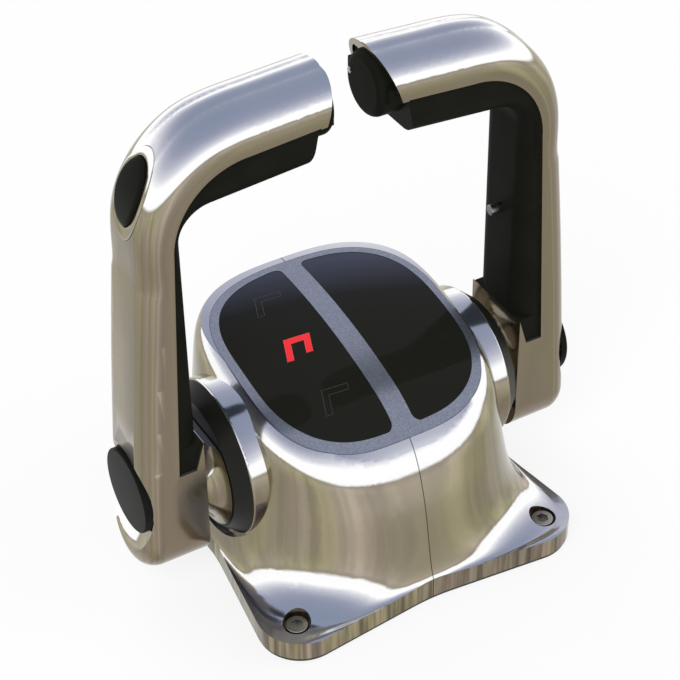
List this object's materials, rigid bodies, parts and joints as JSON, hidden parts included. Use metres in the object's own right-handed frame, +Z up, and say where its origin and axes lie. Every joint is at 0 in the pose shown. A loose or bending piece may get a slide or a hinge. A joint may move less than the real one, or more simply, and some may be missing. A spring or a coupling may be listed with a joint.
{
  "type": "boat throttle control lever",
  "caption": "Twin top-mount throttle and shift control for a boat: L-shaped polished levers with black inserts at both sides of a flanged housing with smoked windows",
  "frame": {"origin": "middle of the four deck screws, on the underside of the gasket", "axes": "+X to starboard along the lever shafts, +Y ahead, +Z up from the deck"},
  "size_m": [0.2232, 0.1632, 0.2551],
  "materials": {
    "bezel_grey": "fine satin graphite paint",
    "bush_plastic": "natural acetal",
    "cap_black": "satin",
    "cast_aluminium": "die-cast",
    "connector_plastic": "matt moulded",
    "display_plastic": "matt moulded",
    "gasket_rubber": "matt",
    "gear_plastic": "moulded acetal",
    "gloss_black": "gloss",
    "pad_rubber": "friction compound",
    "polished_stainless": "mirror-polished stainless steel",
    "satin_black": "satin",
    "screw_steel": "passivated stainless",
    "shaft_steel": "ground",
    "smoked_window": "gloss smoked lens",
    "spring_steel": "hardened strip",
    "structural_plastic": "glass-filled, matt"
  },
  "bodies": {
    "housing": {"base_gasket": "gasket_rubber", "base_plate": "structural_plastic", "bezel_port": "bezel_grey", "bezel_starboard": "bezel_grey", "centre_frame": "cast_aluminium", "detent_roller_port": "shaft_steel", "detent_roller_starboard": "shaft_steel", "detent_spring_port": "spring_steel", "detent_spring_starboard": "spring_steel", "display_module_port": "display_plastic", "display_module_starboard": "display_plastic", "friction_pad_port": "pad_rubber", "friction_pad_starboard": "pad_rubber", "friction_saddle_port": "structural_plastic", "friction_saddle_starboard": "structural_plastic", "harness_connector": "connector_plastic", "housing_port": "polished_stainless", "housing_starboard": "polished_stainless", "hub_ring_port": "satin_black", "hub_ring_starboard": "satin_black", "inner_bush_port": "bush_plastic", "inner_bush_starboard": "bush_plastic", "mounting_screws": "screw_steel", "sensor_module_port": "connector_plastic", "sensor_module_starboard": "connector_plastic", "sensor_spindle_port": "shaft_steel", "sensor_spindle_starboard": "shaft_steel", "shaft_bush_port": "bush_plastic", "shaft_bush_starboard": "bush_plastic", "shaft_seal_port": "gasket_rubber", "shaft_seal_starboard": "gasket_rubber", "window_port": "smoked_window", "window_starboard": "smoked_window"},
    "lever_port": {"detent_disc_port": "shaft_steel", "drive_gear_port": "gear_plastic", "grip_insert_port": "satin_black", "hub_bolt_port": "screw_steel", "hub_cap_port": "cap_black", "lever_shaft_port": "shaft_steel", "lever_shell_port": "polished_stainless", "shaft_clip_port": "spring_steel", "trim_switch": "connector_plastic"},
    "lever_starboard": {"detent_disc_starboard": "shaft_steel", "drive_gear_starboard": "gear_plastic", "grip_insert_starboard": "satin_black", "hub_bolt_starboard": "screw_steel", "hub_cap_starboard": "cap_black", "lever_shaft_starboard": "shaft_steel", "lever_shell_starboard": "polished_stainless", "shaft_clip_starboard": "spring_steel"},
    "sensor_gear_port": {"sensor_gear_port": "gear_plastic"},
    "sensor_gear_starboard": {"sensor_gear_starboard": "gear_plastic"},
    "trim_rocker": {"trim_rocker": "gloss_black"}
  },
  "joints": [
    {"name": "lever_port_turn", "type": "hinge", "parent": "housing", "child": "lever_port", "pos_m": [-0.06, 0, 0.0565], "axis": [-1, 0, 0], "range_deg": [-60, 75]},
    {"name": "lever_starboard_turn", "type": "hinge", "parent": "housing", "child": "lever_starboard", "pos_m": [0.06, 0, 0.0565], "axis": [-1, 0, 0], "range_deg": [-60, 75]},
    {"name": "sensor_port_spin", "type": "hinge", "parent": "housing", "child": "sensor_gear_port", "pos_m": [-0.029, 0.035, 0.0565], "axis": [-1, 0, 0], "range_deg": [-190, 152]},
    {"name": "sensor_starboard_spin", "type": "hinge", "parent": "housing", "child": "sensor_gear_starboard", "pos_m": [0.029, 0.035, 0.0565], "axis": [-1, 0, 0], "range_deg": [-190, 152]},
    {"name": "trim_rock", "type": "hinge", "parent": "lever_port", "child": "trim_rocker", "pos_m": [-0.0911, -0.001, 0.205], "axis": [0, 1, 0], "range_deg": [-3, 3], "stiffness_Nm_per_rad": 1}
  ],
  "couplings": [
    {"joint": "sensor_port_spin", "follows": "lever_port_turn", "ratio": -2.5},
    {"joint": "sensor_starboard_spin", "follows": "lever_starboard_turn", "ratio": -2.5}
  ]
}
